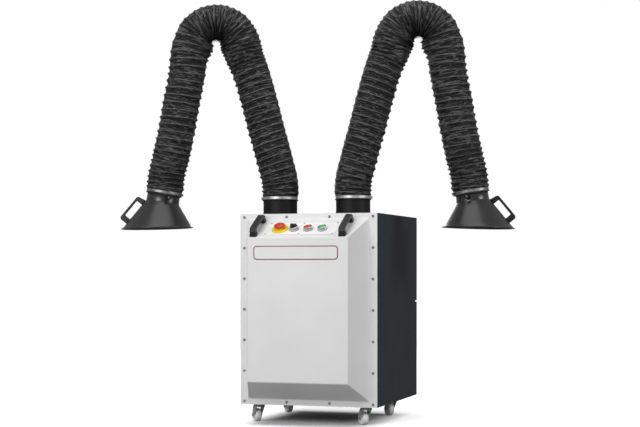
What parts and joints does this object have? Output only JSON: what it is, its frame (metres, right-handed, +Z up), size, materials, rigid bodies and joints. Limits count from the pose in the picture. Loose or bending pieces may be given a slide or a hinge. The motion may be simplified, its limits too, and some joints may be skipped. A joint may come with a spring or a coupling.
{
  "type": "mobile welding fume extractor",
  "caption": "Wheeled filter cabinet with sloped control panel and self-supporting ribbed hose arms that end in round extraction hoods.",
  "frame": {"origin": "centre of the bounding box's base, on the floor between the casters", "axes": "+X to the right seen from the front, +Y from the control panel to the rear door, +Z up"},
  "size_m": [1.8126, 0.9891, 1.9765],
  "materials": {
    "light_paint": "light grey satin paint",
    "dark_paint": "dark anthracite satin paint",
    "black_paint": "black satin paint",
    "black_plastic": "black moulded plastic",
    "hose_fabric": "dark coated fabric over wire ribs",
    "yellow_plastic": "yellow plastic",
    "red_plastic": "red plastic",
    "green_plastic": "green plastic",
    "bright_metal": "bright plated metal",
    "zinc": "zinc-plated steel",
    "nylon": "off-white nylon",
    "filter_paper": "pleated filter fleece",
    "motor_paint": "dark blue-grey paint"
  },
  "bodies": {
    "cabinet": {"base_pan": "dark_paint", "left_side_panel": "dark_paint", "right_side_panel": "dark_paint", "top_panel": "dark_paint", "front_cover": "light_paint", "control_plate": "light_paint", "left_front_handle": "black_plastic", "right_front_handle": "black_plastic", "estop_base": "yellow_plastic", "selector_bezel": "bright_metal", "stop_bezel": "bright_metal", "start_bezel": "bright_metal", "rear_panel": "dark_paint", "power_inlet": "black_plastic", "partition_plate": "zinc", "filter_cartridge": "filter_paper", "filter_cap": "zinc", "fan_housing": "zinc", "fan_motor": "motor_paint", "caster_plate_front_left": "zinc", "caster_plate_front_right": "zinc", "caster_plate_rear_left": "zinc", "caster_plate_rear_right": "zinc", "left_swivel_flange": "zinc", "right_swivel_flange": "zinc"},
    "estop": {"estop_button": "red_plastic"},
    "selector": {"selector_knob": "black_plastic"},
    "stop": {"stop_button": "red_plastic"},
    "start": {"start_button": "green_plastic"},
    "door": {"filter_door": "dark_paint"},
    "latch": {"door_latch": "black_plastic"},
    "impeller": {"fan_impeller": "zinc"},
    "fork_front_left": {"caster_fork_front_left": "zinc"},
    "wheel_front_left": {"caster_wheel_front_left": "nylon"},
    "fork_front_right": {"caster_fork_front_right": "zinc"},
    "wheel_front_right": {"caster_wheel_front_right": "nylon"},
    "fork_rear_left": {"caster_fork_rear_left": "zinc"},
    "wheel_rear_left": {"caster_wheel_rear_left": "nylon"},
    "fork_rear_right": {"caster_fork_rear_right": "zinc"},
    "wheel_rear_right": {"caster_wheel_rear_right": "nylon"},
    "left_swivel": {"left_base_collar": "black_paint", "left_base_clamp": "bright_metal"},
    "left_lower": {"left_lower_arm": "zinc", "left_hose": "hose_fabric"},
    "left_upper": {"left_upper_arm": "zinc"},
    "left_head": {"left_hood": "black_paint", "left_hood_clamp": "bright_metal", "left_hood_handle": "black_plastic"},
    "left_damper": {"left_damper_flap": "zinc", "left_damper_knob": "black_plastic"},
    "right_swivel": {"right_base_collar": "black_paint", "right_base_clamp": "bright_metal"},
    "right_lower": {"right_lower_arm": "zinc", "right_hose": "hose_fabric"},
    "right_upper": {"right_upper_arm": "zinc"},
    "right_head": {"right_hood": "black_paint", "right_hood_clamp": "bright_metal", "right_hood_handle": "black_plastic"},
    "right_damper": {"right_damper_flap": "zinc", "right_damper_knob": "black_plastic"}
  },
  "joints": [
    {"name": "estop_press", "type": "slide", "parent": "cabinet", "child": "estop", "axis": [0, 0.4897, -0.8719], "range_m": [0, 0.005]},
    {"name": "selector_turn", "type": "hinge", "parent": "cabinet", "child": "selector", "pos_m": [-0.0337, -0.37411, 0.90066], "axis": [0, -0.4897, 0.8719], "range_deg": [0, 90]},
    {"name": "stop_press", "type": "slide", "parent": "cabinet", "child": "stop", "axis": [0, 0.4897, -0.8719], "range_m": [0, 0.004], "stiffness_N_per_m": 400, "springref_m": -0.002},
    {"name": "start_press", "type": "slide", "parent": "cabinet", "child": "start", "axis": [0, 0.4897, -0.8719], "range_m": [0, 0.004], "stiffness_N_per_m": 400, "springref_m": -0.002},
    {"name": "door_hinge", "type": "hinge", "parent": "cabinet", "child": "door", "pos_m": [-0.3385, 0.438, 0.7705], "axis": [0, 0, 1], "range_deg": [0, 110]},
    {"name": "latch_turn", "type": "hinge", "parent": "door", "child": "latch", "pos_m": [0.2825, 0.471, 0.768], "axis": [0, 1, 0], "range_deg": [0, 90]},
    {"name": "impeller_spin", "type": "hinge", "parent": "cabinet", "child": "impeller", "pos_m": [0, 0.086, 0.418], "axis": [0, 0, 1], "continuous": true},
    {"name": "swivel_front_left", "type": "hinge", "parent": "cabinet", "child": "fork_front_left", "pos_m": [-0.262, -0.214, 0.06], "axis": [0, 0, 1], "continuous": true},
    {"name": "roll_front_left", "type": "hinge", "parent": "fork_front_left", "child": "wheel_front_left", "pos_m": [-0.28074, -0.19319, 0.03111], "axis": [-0.7431, -0.6691, 0], "continuous": true},
    {"name": "swivel_front_right", "type": "hinge", "parent": "cabinet", "child": "fork_front_right", "pos_m": [0.262, -0.214, 0.06], "axis": [0, 0, 1], "continuous": true},
    {"name": "roll_front_right", "type": "hinge", "parent": "fork_front_right", "child": "wheel_front_right", "pos_m": [0.24326, -0.19319, 0.03111], "axis": [-0.7431, -0.6691, 0], "continuous": true},
    {"name": "swivel_rear_left", "type": "hinge", "parent": "cabinet", "child": "fork_rear_left", "pos_m": [-0.262, 0.246, 0.06], "axis": [0, 0, 1], "continuous": true},
    {"name": "roll_rear_left", "type": "hinge", "parent": "fork_rear_left", "child": "wheel_rear_left", "pos_m": [-0.28074, 0.26681, 0.03111], "axis": [-0.7431, -0.6691, 0], "continuous": true},
    {"name": "swivel_rear_right", "type": "hinge", "parent": "cabinet", "child": "fork_rear_right", "pos_m": [0.262, 0.246, 0.06], "axis": [0, 0, 1], "continuous": true},
    {"name": "roll_rear_right", "type": "hinge", "parent": "fork_rear_right", "child": "wheel_rear_right", "pos_m": [0.24326, 0.26681, 0.03111], "axis": [-0.7431, -0.6691, 0], "continuous": true},
    {"name": "left_arm_swivel", "type": "hinge", "parent": "cabinet", "child": "left_swivel", "pos_m": [-0.18, -0.147, 0.96], "axis": [0, 0, 1], "range_deg": [-70, 105]},
    {"name": "left_shoulder", "type": "hinge", "parent": "left_swivel", "child": "left_lower", "pos_m": [-0.18, -0.147, 1.108], "axis": [0.304, -0.9527, 0], "range_deg": [-15, 35], "deforming": ["left_hose"]},
    {"name": "left_elbow", "type": "hinge", "parent": "left_lower", "child": "left_upper", "pos_m": [-0.46866, -0.23912, 1.87], "axis": [-0.304, 0.9527, 0], "range_deg": [-10, 70]},
    {"name": "left_wrist", "type": "hinge", "parent": "left_upper", "child": "left_head", "pos_m": [-0.69296, -0.31071, 1.16246], "axis": [0.304, -0.9527, 0], "range_deg": [-45, 45]},
    {"name": "left_damper_turn", "type": "hinge", "parent": "left_head", "child": "left_damper", "pos_m": [-0.70831, -0.31561, 1.06073], "axis": [0.621, -0.7818, -0.0561], "range_deg": [0, 90]},
    {"name": "right_arm_swivel", "type": "hinge", "parent": "cabinet", "child": "right_swivel", "pos_m": [0.18, -0.147, 0.96], "axis": [0, 0, 1], "range_deg": [-140, 35]},
    {"name": "right_shoulder", "type": "hinge", "parent": "right_swivel", "child": "right_lower", "pos_m": [0.18, -0.147, 1.108], "axis": [-0.304, 0.9527, 0], "range_deg": [-15, 35], "deforming": ["right_hose"]},
    {"name": "right_elbow", "type": "hinge", "parent": "right_lower", "child": "right_upper", "pos_m": [0.46866, -0.05488, 1.87], "axis": [0.304, -0.9527, 0], "range_deg": [-10, 70]},
    {"name": "right_wrist", "type": "hinge", "parent": "right_upper", "child": "right_head", "pos_m": [0.69296, 0.01671, 1.16246], "axis": [-0.304, 0.9527, 0], "range_deg": [-45, 45]},
    {"name": "right_damper_turn", "type": "hinge", "parent": "right_head", "child": "right_damper", "pos_m": [0.70831, 0.02161, 1.06073], "axis": [-0.0534, -0.997, -0.0561], "range_deg": [0, 90]}
  ]
}
